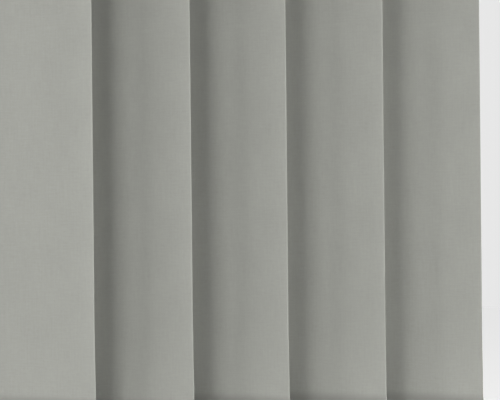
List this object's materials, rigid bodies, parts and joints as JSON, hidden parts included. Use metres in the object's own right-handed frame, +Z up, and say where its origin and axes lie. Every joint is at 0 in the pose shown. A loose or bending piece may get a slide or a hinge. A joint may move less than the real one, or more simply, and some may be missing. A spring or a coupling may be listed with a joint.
{
  "type": "vertical blind",
  "caption": "Wand-operated vertical blind: slotted ceiling headrail, gliding carriers with worm-geared stems, stiff cloth vanes with foot weights.",
  "frame": {"origin": "middle of the line through the two bracket holes, on the brackets' top face", "axes": "+X along the headrail, -Y towards the room, +Z up"},
  "size_m": [0.453, 0.0615, 1.0517],
  "materials": {
    "rail": "white powder-coated aluminium extrusion, satin",
    "cap": "moulded plastic, satin",
    "bush": "natural acetal",
    "bracket": "zinc-plated spring steel",
    "carrier": "moulded acetal, semi-matte",
    "gear": "natural nylon",
    "stem": "moulded acetal",
    "rod": "drawn, fluted",
    "spring_steel": "thin rolled strip",
    "clear_tube": "soft translucent vinyl",
    "wand": "six-sided acrylic",
    "wand_grip": "moulded grip, satin",
    "hanger": "thin moulded plate",
    "vane_cloth": "stiffened plain grey cloth, matte",
    "weight": "coated flat steel"
  },
  "bodies": {
    "root": {"headrail": "rail", "end_cap_left": "cap", "end_cap_right": "cap", "rod_bush_left": "bush", "rod_bush_right": "bush", "bracket_left": "bracket", "bracket_right": "bracket", "carrier_body_5": "carrier", "end_stop": "carrier", "spacer_strip_4": "spring_steel"},
    "rod": {"tilt_rod": "rod", "rod_clips": "spring_steel"},
    "lead_carriage": {"carrier_body_1": "carrier", "wand_carriage": "carrier", "wand_link": "spring_steel", "wand_coupling": "clear_tube"},
    "carriage_2": {"carrier_body_2": "carrier", "spacer_strip_1": "spring_steel"},
    "carriage_3": {"carrier_body_3": "carrier", "spacer_strip_2": "spring_steel"},
    "carriage_4": {"carrier_body_4": "carrier", "spacer_strip_3": "spring_steel"},
    "worm_core_1": {"worm_1": "gear"},
    "vane_1": {"stem_1": "stem", "vane_hanger_1": "hanger", "vane_fabric_1": "vane_cloth", "vane_weight_1": "weight"},
    "worm_core_2": {"worm_2": "gear"},
    "vane_2": {"stem_2": "stem", "vane_hanger_2": "hanger", "vane_fabric_2": "vane_cloth", "vane_weight_2": "weight"},
    "worm_core_3": {"worm_3": "gear"},
    "vane_3": {"stem_3": "stem", "vane_hanger_3": "hanger", "vane_fabric_3": "vane_cloth", "vane_weight_3": "weight"},
    "worm_core_4": {"worm_4": "gear"},
    "vane_4": {"stem_4": "stem", "vane_hanger_4": "hanger", "vane_fabric_4": "vane_cloth", "vane_weight_4": "weight"},
    "worm_core_5": {"worm_5": "gear"},
    "vane_5": {"stem_5": "stem", "vane_hanger_5": "hanger", "vane_fabric_5": "vane_cloth", "vane_weight_5": "weight"},
    "rod_gear": {"rod_bevel": "gear"},
    "wand_gear": {"wand_shaft": "gear"},
    "wand_gimbal": {"wand_ring": "carrier"},
    "wand_socket": {"wand_ferrule": "gear"},
    "wand": {"wand_rod": "wand", "wand_grip": "wand_grip"}
  },
  "joints": [
    {"name": "rod_turn", "type": "hinge", "parent": "root", "child": "rod", "pos_m": [0, 0.012, -0.02475], "axis": [1, 0, 0], "range_deg": [-36, 924]},
    {"name": "draw", "type": "slide", "parent": "root", "child": "lead_carriage", "axis": [1, 0, 0], "range_m": [0, 0.228]},
    {"name": "draw_2", "type": "slide", "parent": "root", "child": "carriage_2", "axis": [1, 0, 0], "range_m": [0, 0.171]},
    {"name": "draw_3", "type": "slide", "parent": "root", "child": "carriage_3", "axis": [1, 0, 0], "range_m": [0, 0.114]},
    {"name": "draw_4", "type": "slide", "parent": "root", "child": "carriage_4", "axis": [1, 0, 0], "range_m": [0, 0.057]},
    {"name": "worm_turn_1", "type": "hinge", "parent": "lead_carriage", "child": "worm_core_1", "pos_m": [-0.1405, 0.012, -0.02475], "axis": [1, 0, 0], "range_deg": [-36, 924]},
    {"name": "vane_tilt_1", "type": "hinge", "parent": "lead_carriage", "child": "vane_1", "pos_m": [-0.1405, 0, -0.02475], "axis": [0, 0, -1], "range_deg": [-6, 154]},
    {"name": "worm_turn_2", "type": "hinge", "parent": "carriage_2", "child": "worm_core_2", "pos_m": [-0.0615, 0.012, -0.02475], "axis": [1, 0, 0], "range_deg": [-36, 924]},
    {"name": "vane_tilt_2", "type": "hinge", "parent": "carriage_2", "child": "vane_2", "pos_m": [-0.0615, 0, -0.02475], "axis": [0, 0, -1], "range_deg": [-6, 154]},
    {"name": "worm_turn_3", "type": "hinge", "parent": "carriage_3", "child": "worm_core_3", "pos_m": [0.0175, 0.012, -0.02475], "axis": [1, 0, 0], "range_deg": [-36, 924]},
    {"name": "vane_tilt_3", "type": "hinge", "parent": "carriage_3", "child": "vane_3", "pos_m": [0.0175, 0, -0.02475], "axis": [0, 0, -1], "range_deg": [-6, 154]},
    {"name": "worm_turn_4", "type": "hinge", "parent": "carriage_4", "child": "worm_core_4", "pos_m": [0.0965, 0.012, -0.02475], "axis": [1, 0, 0], "range_deg": [-36, 924]},
    {"name": "vane_tilt_4", "type": "hinge", "parent": "carriage_4", "child": "vane_4", "pos_m": [0.0965, 0, -0.02475], "axis": [0, 0, -1], "range_deg": [-6, 154]},
    {"name": "worm_turn_5", "type": "hinge", "parent": "root", "child": "worm_core_5", "pos_m": [0.1755, 0.012, -0.02475], "axis": [1, 0, 0], "range_deg": [-36, 924]},
    {"name": "vane_tilt_5", "type": "hinge", "parent": "root", "child": "vane_5", "pos_m": [0.1755, 0, -0.02475], "axis": [0, 0, -1], "range_deg": [-6, 154]},
    {"name": "rod_gear_turn", "type": "hinge", "parent": "lead_carriage", "child": "rod_gear", "pos_m": [-0.1985, 0.012, -0.02475], "axis": [1, 0, 0], "range_deg": [-36, 924]},
    {"name": "wand_gear_turn", "type": "hinge", "parent": "lead_carriage", "child": "wand_gear", "pos_m": [-0.1985, 0.012, -0.02475], "axis": [0, -0.7071, -0.7071], "range_deg": [-924, 36]},
    {"name": "wand_swing_front", "type": "hinge", "parent": "lead_carriage", "child": "wand_gimbal", "pos_m": [-0.1985, -0.027, -0.07325], "axis": [-1, 0, 0], "range_deg": [0, 45], "deforming": ["wand_coupling"]},
    {"name": "wand_swing_side", "type": "hinge", "parent": "wand_gimbal", "child": "wand_socket", "pos_m": [-0.1985, -0.027, -0.07325], "axis": [0, 1, 0], "range_deg": [-25, 25]},
    {"name": "wand_twist", "type": "hinge", "parent": "wand_socket", "child": "wand", "pos_m": [-0.1985, -0.027, -0.07325], "axis": [0, 0, -1], "range_deg": [-924, 36]}
  ],
  "couplings": [
    {"joint": "draw_2", "follows": "draw", "ratio": 0.75},
    {"joint": "draw_3", "follows": "draw", "ratio": 0.5},
    {"joint": "draw_4", "follows": "draw", "ratio": 0.25},
    {"joint": "worm_turn_1", "follows": "rod_turn", "ratio": 1},
    {"joint": "vane_tilt_1", "follows": "rod_turn", "ratio": 0.16667},
    {"joint": "worm_turn_2", "follows": "rod_turn", "ratio": 1},
    {"joint": "vane_tilt_2", "follows": "rod_turn", "ratio": 0.16667},
    {"joint": "worm_turn_3", "follows": "rod_turn", "ratio": 1},
    {"joint": "vane_tilt_3", "follows": "rod_turn", "ratio": 0.16667},
    {"joint": "worm_turn_4", "follows": "rod_turn", "ratio": 1},
    {"joint": "vane_tilt_4", "follows": "rod_turn", "ratio": 0.16667},
    {"joint": "worm_turn_5", "follows": "rod_turn", "ratio": 1},
    {"joint": "vane_tilt_5", "follows": "rod_turn", "ratio": 0.16667},
    {"joint": "rod_gear_turn", "follows": "rod_turn", "ratio": 1},
    {"joint": "wand_gear_turn", "follows": "rod_turn", "ratio": -1},
    {"joint": "wand_twist", "follows": "rod_turn", "ratio": -1}
  ]
}
